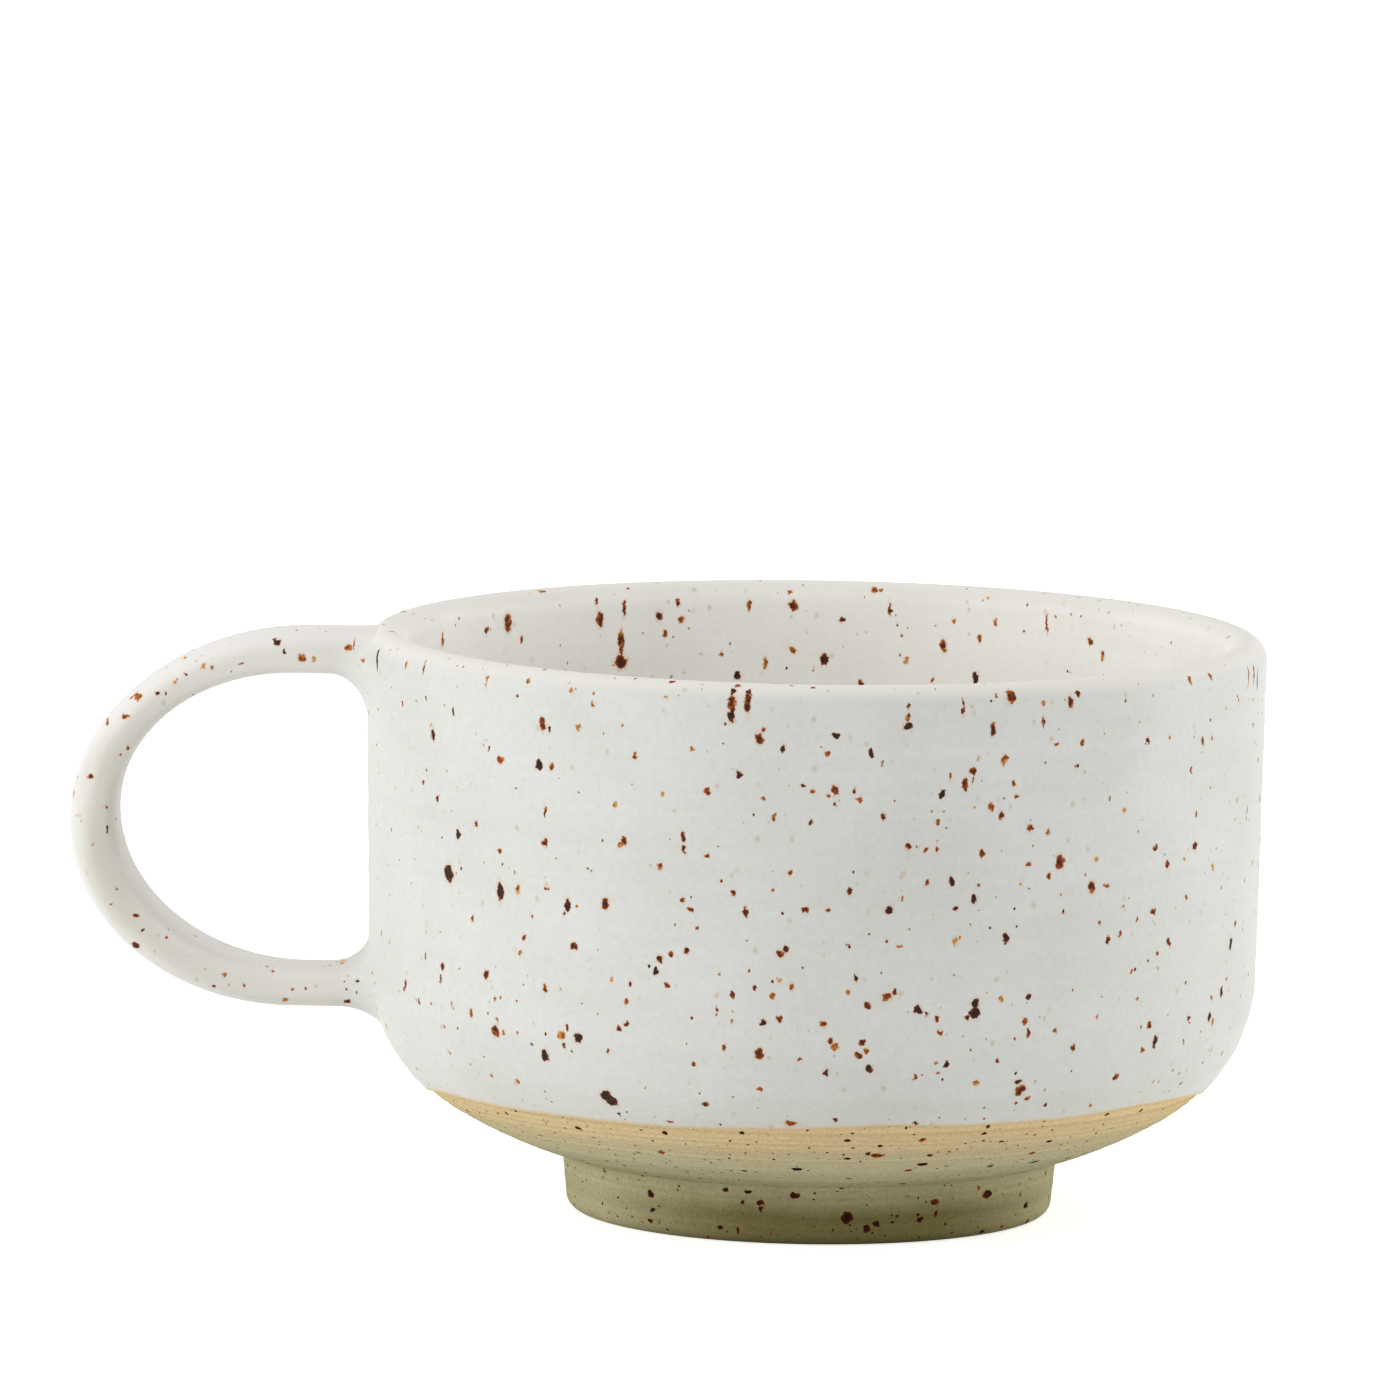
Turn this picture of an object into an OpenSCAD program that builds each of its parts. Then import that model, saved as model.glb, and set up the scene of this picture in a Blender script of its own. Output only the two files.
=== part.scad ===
// Handmade cappuccino cup: thrown stoneware bowl, turned foot ring, pulled handle and a speckled glaze.
// The origin is at the middle of the foot, on the table. The handle points along -X.

/* [Cup] */
// Height of the cup to the crest of the rim, over the glaze
cup_h = 64.7; // [58:0.1:75]
// Diameter across the rim, over the glaze
rim_d = 100; // [92:0.5:112]
// How much narrower the clay is where the wall turns under than at the rim
wall_taper = 1.3; // [0.5:0.1:6]
// Thickness of the clay wall and floor
wall_t = 4; // [3:0.1:5.5]
// Radius of the turn from the wall to the underside
turn_r = 19; // [15:0.5:24]
// Angle of that turn, before the underside flattens
turn_angle = 58; // [48:1:66]
// Radius of the flatter underside
base_r = 51; // [42:1:75]

/* [Foot] */
// Diameter of the foot ring where it meets the underside
foot_d = 54.8; // [46:0.5:64]
// Height of the foot ring at its outside
foot_h = 6.5; // [4.5:0.1:10]
// Width of the foot ring where it meets the underside
foot_w = 6; // [5:0.1:8]
// How far each side of the foot ring leans in towards the table
foot_lean = 0.4; // [0.1:0.1:0.8]
// Rounding of the foot ring's lower edges
foot_edge_r = 1.5; // [0.5:0.1:1.8]

/* [Handle] */
// How far the handle reaches out from the rim
handle_reach = 33; // [26:0.5:42]
// Height between the middles of the upper and lower arms, as a share of the cup's height
handle_span_share = 0.575; // [0.5:0.005:0.6]
// Length of the straight arms outside the rim
handle_arm = 7; // [5:0.5:14]
// Thickness of the handle's clay at the arms and the outer end
handle_t = 4.6; // [3.5:0.1:7]
// How much thinner the upper bend is, and how much thicker the lower one
handle_swell = 0.8; // [0.1:0.1:1.2]
// Width of the handle's clay from front to back
handle_w = 10.4; // [8:0.2:16]
// How far the top of the handle lies below the crest of the rim
handle_drop = 0.4; // [0.3:0.05:6]

/* [Handle joints] */
// Reach of the joint's clay along the arm
joint_l = 3.4; // [2:0.1:4.5]
// Reach of the joint's clay along the wall, on the side of the finger gap
joint_r = 4; // [2:0.1:5]

/* [Glaze] */
// Thickness of the glaze
glaze_t = 0.3; // [0.2:0.05:0.6]
// Height of the line where the outside glaze ends, as a share of the cup's height
glaze_line_share = 0.238; // [0.15:0.002:0.25]

/* [Hidden] */
$fn = 360;

// Clay and glaze colours
bare_clay = "#b9b391";
glazed_body = "#e9ece8";
glazed_inside = "#dedcd7";
glazed_handle = "#ece6df";

// Largest angle between neighbouring points of an arc, of the handle's bend, of its section and of a fillet
arc_step = 4;
bend_step = 9;
section_step = 15;
fillet_step = 22.5;

// Centres of the three arcs of the wall's section: lip, turn and underside
lip_r = wall_t / 2;
lip = [rim_d / 2 - glaze_t - lip_r, cup_h - glaze_t - lip_r];
foot_r = foot_d / 2;
wall_d = rim_d - 2 * glaze_t - wall_taper;
base_x = wall_d / 2 - turn_r - (base_r - turn_r) * cos(turn_angle);
base = [base_x, foot_h + sqrt(base_r ^ 2 - (foot_r - base_x) ^ 2)];
turn = base + (base_r - turn_r) * [cos(turn_angle), -sin(turn_angle)];

// Lean of the straight wall, which is tangent to the turn and to the lip
lip_from_turn = lip - turn;
wall_lean = acos((turn_r - lip_r) / norm(lip_from_turn)) - atan2(lip_from_turn.y, lip_from_turn.x);

// Where the foot ring meets the underside, as angles round the centre of the underside
foot_in_r = foot_r - foot_w;
seat_from = -acos((foot_in_r - base.x) / base_r);
seat_to = -acos((foot_r - base.x) / base_r);

// The handle bends along half an ellipse, in the plane y = 0
bend_x = handle_reach - handle_arm - glaze_t - handle_t / 2;
bend_z = cup_h * handle_span_share / 2;
bend_centre = [
    -rim_d / 2 - handle_arm,
    cup_h - glaze_t - handle_drop - handle_t / 2 - bend_z
];

// Squareness of the handle's oval section: 1 is an ellipse, less is squarer
oval_power = 0.8;

// The arms run in to this distance from the axis before the bowl trims them
root_r = lip.x - wall_t;

// Thickness of a joint's thin edge on the wall, and its reach on the side away from the finger gap
joint_edge_share = 0.5;
joint_edge = glaze_t * joint_edge_share;
joint_lip_share = 0.6;
joint_lip = handle_drop * joint_lip_share;

function tail(points) = [for (i = [1 : len(points) - 1]) points[i]];

function reverse(points) = [for (i = [len(points) - 1 : -1 : 0]) points[i]];

function arc(centre, r, from, to) =
    let (steps = ceil(abs(to - from) / arc_step))
    [for (i = [0 : steps])
        let (a = from + (to - from) * i / steps)
        centre + r * [cos(a), sin(a)]];

// Section of the outside from the axis to the crest of the rim, grown by a coat
function outside(coat) = concat(
    [[0, base.y - base_r - coat]],
    arc(base, base_r + coat, -90, seat_from),
    tail(arc(base, base_r + coat, seat_from, seat_to)),
    tail(arc(base, base_r + coat, seat_to, -turn_angle)),
    tail(arc(turn, turn_r + coat, -turn_angle, -wall_lean)),
    arc(lip, lip_r + coat, -wall_lean, 90)
);

// Section of the inside from the crest of the rim to the axis, grown by a coat
function inside(coat) = concat(
    arc(lip, lip_r + coat, 90, 180 - wall_lean),
    arc(turn, turn_r - wall_t - coat, -wall_lean, -turn_angle),
    tail(arc(base, base_r - wall_t - coat, -turn_angle, -90)),
    [[0, base.y - base_r + wall_t + coat]]
);

// Radius of the clay's outside at a height on the turn, the wall or the lip
function wall_r(z) =
    z > lip.y ? lip.x + sqrt(max(0, lip_r ^ 2 - (z - lip.y) ^ 2)) :
    z > turn.y ? turn.x + turn_r / cos(wall_lean) + (z - turn.y) * tan(wall_lean) :
    turn.x + sqrt(turn_r ^ 2 - (turn.y - z) ^ 2);

// A sine or cosine made squarer, with its sign kept
function oval_part(part) = sign(part) * abs(part) ^ oval_power;

function oval(angle, t, w) = [t / 2 * oval_part(cos(angle)), w / 2 * oval_part(sin(angle))];

section_angles = [0 : section_step : 360 - section_step];
section_count = 360 / section_step;

// Ring of points round the bend at an angle: 90 at the upper arm, 180 at the outer end, 270 at the lower arm
function bend_ring(angle, coat) =
    let (
        place = bend_centre + [bend_x * cos(angle), bend_z * sin(angle)],
        slope = [cos(angle) / bend_x, sin(angle) / bend_z],
        out = slope / norm(slope),
        t = handle_t - handle_swell * sin(2 * (angle - 90))
    )
    [for (a = section_angles)
        let (
            point = oval(a, t + 2 * coat, handle_w + 2 * coat),
            spot = place + point.x * out
        )
        [spot.x, point.y, spot.y]];

// Ring of points on a joint's fillet: 0 where it leaves the arm, 90 where it meets the wall
function joint_ring(side, angle, coat) =
    [for (a = section_angles)
        let (
            reach = joint_lip + (joint_r - joint_lip) * (1 - cos(a)) / 2,
            grow = reach - (reach - coat) * cos(angle),
            off_wall = joint_edge + joint_l - (joint_l - coat) * sin(angle),
            point = oval(a, handle_t + 2 * grow, handle_w + 2 * grow),
            z = bend_centre.y + side * (bend_z + point.x)
        )
        [-sqrt(wall_r(z) ^ 2 - point.y ^ 2) - off_wall, point.y, z]];

function joint_rings(side, coat) = [for (a = [0 : fillet_step : 90]) joint_ring(side, a, coat)];

// The same ring, flat and inside the wall
function root_ring(ring) = [for (p = ring) [-root_r, p.y, p.z]];

function bend_rings(coat) = [for (a = [90 : bend_step : 270]) bend_ring(a, coat)];

// Rings from the upper joint round to the lower one, over the clay or over the glaze
function handle_rings(coat) = concat(reverse(joint_rings(1, coat)), bend_rings(coat), joint_rings(-1, coat));

// Closed skin over a row of rings, with flat ends, or with the last ring joined to the first.
// Seen along the row, the points of each ring run clockwise.
module skin(rings, joined = false) {
    n = section_count;
    last = len(rings) - 1;
    rows = joined ? last : last - 1;
    side_faces = [
        for (i = [0 : rows], j = [0 : n - 1])
            let (
                next_i = (i + 1) % (last + 1),
                next_j = (j + 1) % n
            )
            each [
                [i * n + j, next_i * n + j, next_i * n + next_j],
                [i * n + j, next_i * n + next_j, i * n + next_j]
            ]
    ];
    end_faces = [
        [for (j = [0 : n - 1]) j],
        [for (j = [n - 1 : -1 : 0]) last * n + j]
    ];
    polyhedron([for (ring = rings) each ring], joined ? side_faces : concat(side_faces, end_faces));
}

// The whole cup without its hollow, over the clay or over the glaze
module filled_cup(coat) {
    rotate_extrude() polygon(concat(outside(coat), [[0, lip.y + lip_r + coat]]));
}

// An arm with its joint, running through the wall
module filled_joint(side) {
    rings = concat(
        [bend_ring(180 - side * 90, 0)],
        joint_rings(side, 0),
        [root_ring(joint_ring(side, 90, 0))]
    );
    skin(side > 0 ? reverse(rings) : rings);
}

// Clay pressed into the corner between an arm and the wall
module handle_joint(side) {
    rings = concat(
        joint_rings(side, 0),
        [root_ring(joint_ring(side, 90, 0)), root_ring(joint_ring(side, 0, 0))]
    );
    difference() {
        skin(side > 0 ? reverse(rings) : rings, joined = true);
        filled_cup(0);
    }
}

module bowl() {
    color(bare_clay) rotate_extrude() polygon(concat(outside(0), tail(inside(0))));
}

module foot_ring() {
    outer_edge = [foot_r - foot_lean - foot_edge_r, foot_edge_r];
    inner_edge = [foot_in_r + foot_lean + foot_edge_r, foot_edge_r];
    color(bare_clay) rotate_extrude() polygon(concat(
        arc(base, base_r, seat_from, seat_to),
        arc(outer_edge, foot_edge_r, 0, -90),
        arc(inner_edge, foot_edge_r, -90, -180)
    ));
}

module handle() {
    color(bare_clay) difference() {
        skin(concat([root_ring(bend_ring(90, 0))], bend_rings(0), [root_ring(bend_ring(270, 0))]));
        filled_cup(0);
    }
}

module upper_handle_joint() {
    color(bare_clay) handle_joint(1);
}

module lower_handle_joint() {
    color(bare_clay) handle_joint(-1);
}

module outer_glaze() {
    color(glazed_body) difference() {
        rotate_extrude() polygon(concat(outside(glaze_t), reverse(outside(0))));
        cylinder(h = cup_h * glaze_line_share, d = rim_d);
        for (side = [1, -1]) filled_joint(side);
    }
}

module liner_glaze() {
    color(glazed_inside) rotate_extrude() polygon(concat(inside(0), reverse(inside(glaze_t))));
}

module handle_glaze() {
    color(glazed_handle) difference() {
        skin(concat(handle_rings(glaze_t), reverse(handle_rings(0))), joined = true);
        filled_cup(glaze_t);
    }
}

bowl();
foot_ring();
handle();
upper_handle_joint();
lower_handle_joint();
outer_glaze();
liner_glaze();
handle_glaze();
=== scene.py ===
"""Dresses a handmade cappuccino cup: turned stoneware, three coats of speckled glaze and a plain studio."""

import math

import bmesh
import bpy
from bpy.props import FloatProperty, FloatVectorProperty, PointerProperty
from mathutils import Matrix, Vector


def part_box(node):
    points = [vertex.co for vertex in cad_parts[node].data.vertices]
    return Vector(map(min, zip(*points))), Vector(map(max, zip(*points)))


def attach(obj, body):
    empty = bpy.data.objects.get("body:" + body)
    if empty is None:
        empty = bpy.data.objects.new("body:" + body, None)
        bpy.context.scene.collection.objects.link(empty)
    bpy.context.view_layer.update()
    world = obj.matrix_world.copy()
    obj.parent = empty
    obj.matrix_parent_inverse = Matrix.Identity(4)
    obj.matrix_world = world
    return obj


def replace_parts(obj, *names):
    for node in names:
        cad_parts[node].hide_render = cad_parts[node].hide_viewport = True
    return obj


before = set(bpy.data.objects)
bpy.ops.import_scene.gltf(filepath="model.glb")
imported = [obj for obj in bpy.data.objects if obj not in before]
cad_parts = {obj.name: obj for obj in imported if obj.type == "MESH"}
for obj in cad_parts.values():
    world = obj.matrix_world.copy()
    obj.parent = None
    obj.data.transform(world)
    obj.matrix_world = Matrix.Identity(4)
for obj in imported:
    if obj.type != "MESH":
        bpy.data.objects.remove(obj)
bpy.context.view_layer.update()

bl_info = {
    "name": "Speckled Cappuccino Cup",
    "version": (1, 0, 0),
    "blender": (4, 5, 0),
    "location": "View3D > Sidebar > Cup",
    "description": "Throws, turns and glazes a stoneware cappuccino cup and sets it in a plain studio",
    "category": "Object",
}

MM = 0.001

# Steps in a full turn of a piece of clay, and of a coat, whose edge needs more
CLAY_STEPS = 192
COAT_STEPS = 240

# Points in a ring of the handle, and rings in each of its joints
RING_POINTS = 48
JOINT_RINGS = 11

# Pattern sizes: clouds, throwing lines and pits in the glaze, streaks along the handle, burnt patches in a
# speck, and clouds, turning lines and grit in the clay
CLOUD, THROWN_LINE, PIT, STREAK = 14 * MM, 1.5 * MM, 0.7 * MM, 2.6 * MM
BURN = 0.55 * MM
CLAY_CLOUD, TURNED_LINE, GRIT = 9 * MM, 0.9 * MM, 0.35 * MM

# How far the thin glaze reaches down from the crest of the rim, and up from the glaze line.
# The second is kept on the outside coat as an attribute, 1 at the edge and 0 where the glaze is thick.
THIN_RIM, THIN_EDGE = 1.2 * MM, 1.2 * MM
THINNED = "thinned"

# Share of white that the paper floor adds where it is seen, so that it runs on into the white behind
PAPER_GLOW = 0.72

# Specks strewn by chance: the size of the cell that holds one, its smallest and largest radius, how much it
# is drawn out upwards, and its tones, from black at 0 to ochre at 1
SMUDGES = (2 * MM, 0.08 * MM, 0.36 * MM, 1.3, (0, 1))
DUST = (1.6 * MM, 0.04 * MM, 0.16 * MM, 1.3, (0, 1.1))
FRECKLES = (2.6 * MM, 0.08 * MM, 0.33 * MM, 1.4, (0.25, 1.05))
BLOTS = (3.3 * MM, 0.12 * MM, 0.66 * MM, 1.5, (0, 0.9))
GRAINS = (0.95 * MM, 0.04 * MM, 0.18 * MM, 1, (-0.3, 0.4))
SPOTS = (2.2 * MM, 0.1 * MM, 0.4 * MM, 1, (-0.2, 0.35))

# Iron specks that the eye goes to first, darkest kind to palest.
# Each is degrees round from the front, then height, width and length in mm.
WALL_BLACK = (
    (-57, 56, 0.8, 1.5), (-37, 54.5, 1, 1.2), (-51.5, 45.5, 0.8, 1), (-53.5, 41, 1.6, 1.9),
    (-43.5, 40, 1, 2.2), (-32.5, 39.5, 0.9, 1.5), (-20, 33, 0.7, 0.9), (-9.5, 55, 0.8, 0.9),
    (16, 53, 0.8, 1), (17.5, 43.5, 0.8, 1.2), (20.5, 41.5, 0.8, 1.2), (7, 57.5, 0.6, 1),
    (-4, 58, 0.6, 0.8), (5.5, 33, 0.6, 1), (9.5, 40.5, 1, 1), (2.5, 59.5, 1, 0.6), (68.5, 33, 0.8, 1.4),
    (73.5, 47, 0.3, 1.6), (-28, 18.5, 1.5, 1.5), (-27.5, 18, 1.4, 1.6), (-36.5, 22.5, 1, 1.5),
    (-31, 25, 1, 1.2), (-27, 16.5, 0.6, 0.3), (-6, 28, 0.8, 0.9), (7.5, 23, 0.9, 0.9),
    (13.5, 29.5, 0.9, 1), (17.5, 23.5, 0.5, 1), (2, 22.5, 0.6, 1), (21, 30, 1.1, 1.2), (21, 29, 1.2, 1.2),
    (28.5, 30.5, 0.7, 0.7), (50, 24, 0.8, 1.7), (62.5, 25.5, 0.8, 1.2), (28, 21, 1, 0.5),
    (66, 28, 0.7, 1.4), (25, 37, 0.7, 1.3), (11.5, 60.5, 1.1, 0.9), (11.5, 62.5, 0.3, 0.4),
    (-10.5, 61.5, 0.8, 1.9), (-8.5, 62.5, 0.7, 1.6), (-76, 62.5, 0.8, 3.2), (-10.5, 64, 0.7, 1.4),
    (-8.5, 64, 0.6, 1.2),
)
WALL_BROWN = (
    (-36.5, 59, 0.9, 1.6), (-35.5, 58.5, 0.4, 0.9), (-36, 49.5, 0.4, 1.5), (-27, 40, 1, 1.4),
    (-56, 49, 0.7, 0.8), (-24.5, 47, 0.7, 1), (-36, 46, 0.7, 1), (-31.5, 35, 0.9, 1),
    (-52.5, 59, 0.4, 1.1), (-19.5, 34.5, 0.7, 0.8), (-18, 35, 0.5, 0.8), (-46, 30.5, 0.8, 1.1),
    (-55, 30.5, 0.6, 0.8), (-55.5, 29, 0.5, 1), (-7, 59, 1, 1.4), (2.5, 53.5, 0.8, 1.2),
    (19, 54, 0.6, 1.3), (20, 55.5, 0.8, 0.9), (20, 54.5, 0.3, 0.9), (-16.5, 46.5, 0.6, 0.9),
    (-16.5, 48, 0.5, 1.2), (-8.5, 40, 0.7, 1), (-1, 40.5, 0.8, 0.8), (-13.5, 53, 0.7, 0.8),
    (-15.5, 40, 0.8, 0.6), (4.5, 42.5, 0.6, 0.9), (-0.5, 50, 0.5, 0.8), (2.5, 52, 0.5, 0.8),
    (-1.5, 54, 0.8, 0.4), (14, 47, 0.5, 0.8), (18, 40.5, 0.7, 0.7), (-4, 35.5, 0.9, 0.8),
    (-16, 35.5, 0.6, 0.8), (22.5, 60, 0.7, 1.4), (25, 63.5, 1.1, 2), (33.5, 62.5, 0.7, 1.5),
    (32.5, 45, 1.1, 1.7), (37.5, 42, 0.9, 1.4), (51, 43.5, 0.8, 1.1), (24, 50.5, 0.7, 0.9),
    (28, 49, 0.8, 0.8), (48.5, 38.5, 0.8, 0.8), (57, 45, 1, 1), (48.5, 45.5, 0.7, 0.7),
    (28, 45, 0.8, 0.5), (40.5, 36, 0.5, 1), (58, 56.5, 0.6, 1.1), (46.5, 57.5, 0.5, 0.8),
    (29.5, 60.5, 0.3, 1.4), (57, 48.5, 0.5, 0.8), (-44.5, 24.5, 1.2, 1.4), (-32.5, 26, 0.5, 0.8),
    (-24, 27, 0.8, 0.6), (-25, 26.5, 0.6, 0.8), (-36, 30, 0.6, 1), (-65, 27.5, 0.8, 1),
    (-6.5, 24.5, 1, 1.2), (7, 30, 0.7, 0.8), (9.5, 31, 1, 1), (6, 24.5, 0.7, 0.9), (6.5, 26, 0.6, 0.9),
    (-4, 28.5, 0.6, 0.8), (-14, 18.5, 0.8, 0.5), (20, 28.5, 0.7, 0.7), (-11, 25, 0.5, 0.8),
    (-12, 29, 0.3, 1), (3.5, 17, 0.7, 0.5), (14.5, 16.5, 0.7, 0.4), (28.5, 20, 1.3, 1.4),
    (28.5, 26.5, 0.6, 1), (48.5, 26, 0.7, 1), (35.5, 24.5, 0.6, 1), (44, 20.5, 0.8, 0.9),
    (57, 26, 0.5, 0.8), (-10.5, 62.5, 0.9, 3.4), (-8.5, 63, 0.8, 2.7), (18.5, 63, 0.25, 1.3),
    (18.5, 62, 0.5, 1), (-59.5, 63, 0.4, 1.3), (74.5, 62.5, 0.5, 2.6), (76.5, 61.5, 0.5, 2.4),
)
WALL_RUST = (
    (-43.5, 54.5, 1.1, 0.9), (-35, 54.5, 0.7, 0.8), (-40.5, 40.5, 0.7, 1.1), (-43.5, 44.5, 0.7, 0.6),
    (-31, 59, 0.6, 0.8), (-23, 56.5, 0.5, 0.9), (-5, 50.5, 0.5, 0.8), (11, 36.5, 0.7, 0.4),
    (17, 55, 0.4, 0.9), (-0.5, 64.5, 0.4, 0.8), (22.5, 51.5, 0.7, 0.9), (31, 43.5, 0.5, 0.9),
    (24, 56.5, 0.6, 0.9), (40, 42, 0.8, 0.5), (26, 52.5, 0.7, 0.5), (55.5, 39.5, 0.4, 0.8),
    (23, 63.5, 0.3, 1.1), (55, 63.5, 0.5, 1.6), (60, 63.5, 0.5, 1.5), (72, 62.5, 0.5, 2.2),
    (-33.5, 25, 1, 1), (-19.5, 16, 0.9, 0.4), (-49, 26, 0.7, 1), (3, 25.5, 0.8, 0.8), (1.5, 28, 0.7, 0.8),
    (-5, 31, 0.7, 0.7), (13.5, 22, 0.5, 0.9), (-2.5, 16.5, 1.5, 0.8), (32.5, 26.5, 0.5, 0.8),
    (11.5, 61.5, 0.5, 1), (-10, 64.5, 0.6, 1), (-64.5, 63, 0.4, 1.3), (-46, 63, 0.4, 2.2),
)
WALL_SMALL = (
    (-19.5, 44.5, 0.6, 0.7), (-40, 33.5, 0.6, 0.6), (-6.5, 60, 0.6, 0.6), (5.5, 52.5, 0.6, 0.6),
    (5, 53.5, 0.5, 0.7), (-6.5, 52.5, 0.5, 0.6), (15.5, 47, 0.4, 0.7), (-13.5, 46, 0.6, 0.6),
    (-2.5, 32, 0.6, 0.7), (-5, 42.5, 0.5, 0.5), (2, 40.5, 0.4, 0.6), (35.5, 58, 0.6, 0.7),
    (29.5, 62.5, 0.5, 0.6), (-43, 24.5, 0.5, 0.6), (-24, 29.5, 0.6, 0.7), (-23.5, 31.5, 0.5, 0.6),
    (-44.5, 28, 0.5, 0.5), (-42.5, 19, 0.6, 0.7), (-61, 26, 0.5, 0.6), (10.5, 31.5, 0.6, 0.6),
    (7, 25, 0.6, 0.6), (16.5, 27, 0.6, 0.6), (-15, 23, 0.5, 0.6), (30, 19, 0.6, 0.6), (46, 29, 0.6, 0.5),
    (24.5, 23.5, 0.4, 0.5), (56.5, 23.5, 0.5, 0.6), (56, 30, 0.5, 0.6), (-48, 47, 0.6, 0.6),
    (-65.5, 58.5, 0.4, 0.7), (-39, 63.5, 0.5, 0.6), (-45.5, 55.5, 0.4, 0.5), (-59.5, 50.5, 0.4, 0.7),
    (-33, 38.5, 0.4, 0.7), (1.5, 57.5, 0.6, 0.7), (-10, 42, 0.6, 0.7), (-15.5, 57.5, 0.5, 0.6),
    (-16.5, 41, 0.6, 0.5), (-3, 44.5, 0.5, 0.6), (15.5, 50, 0.5, 0.6), (-14.5, 38, 0.4, 0.6),
    (25.5, 54, 0.4, 0.7), (31.5, 58, 0.6, 0.4), (40, 51.5, 0.4, 0.7), (55.5, 53.5, 0.4, 0.7),
    (42.5, 36.5, 0.5, 0.6), (39, 38, 0.4, 0.6), (-18.5, 31.5, 0.6, 0.6), (16, 28.5, 0.6, 0.7),
    (16.5, 22.5, 0.5, 0.5), (-1.5, 24, 0.6, 0.4), (-6.5, 20.5, 0.5, 0.5), (4.5, 31.5, 0.5, 0.5),
    (-10, 28, 0.3, 0.7), (14.5, 29, 0.5, 0.6), (28.5, 18.5, 0.5, 0.4),
)
INSIDE_BLACK = ((179, 56, 0.9, 1.4), (191.5, 54, 0.9, 0.9), (156.5, 54.5, 0.8, 1.4))
INSIDE_BROWN = (
    (230.5, 61.5, 1.2, 2.1), (235.5, 61, 0.8, 1), (213, 61, 1, 1.8), (213.5, 63, 0.5, 1.1),
    (209, 62, 0.5, 2), (209.5, 58.5, 0.8, 2.4), (209.5, 57.5, 0.6, 1.8), (209.5, 56, 1.6, 1.6),
    (203.5, 61, 0.9, 1.1), (200.5, 62.5, 0.5, 1), (183.5, 62, 1, 1.2), (176.5, 60.5, 0.6, 0.7),
    (169.5, 62, 0.4, 1.6), (161.5, 58, 0.8, 1.6),
)
INSIDE_RUST = (
    (190, 62, 0.5, 1.4), (184, 63.5, 0.6, 0.5), (187.5, 55.5, 0.5, 1.4), (183.5, 57, 0.8, 0.8),
    (160, 61, 0.5, 0.6), (163, 54, 0.5, 0.7), (172, 64, 0.9, 0.9), (171, 64, 0.4, 0.9),
    (194, 56.5, 0.5, 0.5), (202.5, 59, 0.7, 1), (200, 60.5, 0.8, 0.7), (222, 64.5, 1, 0.5),
    (227.5, 59.5, 0.5, 0.9), (248, 61, 0.7, 1.8), (137, 60, 0.8, 0.8), (134.5, 58.5, 0.7, 1.2),
    (145, 61.5, 0.4, 2.3), (153.5, 61, 0.6, 0.8), (156, 59, 0.5, 1),
)
# Specks on the near side of the handle: mm out from the axis, then height, width and length in mm
HANDLE_BLACK = (
    (59.8, 63.1, 0.9, 0.6), (59, 62.1, 0.5, 0.5), (78.4, 44.4, 0.3, 0.5), (78.4, 42, 0.3, 1.1),
    (75.1, 28.9, 0.8, 0.8), (77.2, 35.4, 0.3, 0.5), (50.4, 25.6, 0.4, 0.5), (50.5, 24.3, 0.4, 0.5),
    (51.5, 23.1, 0.7, 0.5),
)
HANDLE_BROWN = (
    (63.7, 60.7, 0.5, 0.3), (72.9, 57.3, 0.5, 0.5), (72.1, 57.3, 0.4, 0.6), (69.8, 59.5, 0.5, 0.4),
    (80.2, 47.8, 0.8, 0.6), (74.3, 30.8, 0.6, 0.3), (75.1, 32.4, 0.6, 0.4), (66.4, 24.6, 0.5, 0.5),
    (63, 24.7, 0.3, 0.6),
)
HANDLE_RUST = (
    (57, 61.4, 0.9, 1), (51.8, 62.7, 0.8, 0.9), (51.2, 63, 0.4, 0.9), (75.1, 56.7, 0.8, 0.8),
    (76.4, 54.6, 0.9, 0.6), (78.6, 53.8, 0.5, 0.8), (76.2, 51.2, 0.3, 0.5), (82.2, 45.5, 0.3, 1),
    (81.9, 47.4, 0.3, 0.4), (71.6, 30, 0.4, 0.4), (65.2, 25.9, 0.6, 0.6), (59.9, 26.3, 0.4, 0.3),
    (57.6, 24.4, 0.5, 0.5), (77.8, 33.6, 0.5, 0.3),
)
HANDLE_OCHRE = ((70, 61, 0.4, 0.4), (66.8, 60.2, 0.3, 0.7), (80, 40.3, 0.4, 0.4), (58.5, 23.1, 0.6, 0.4))
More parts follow.
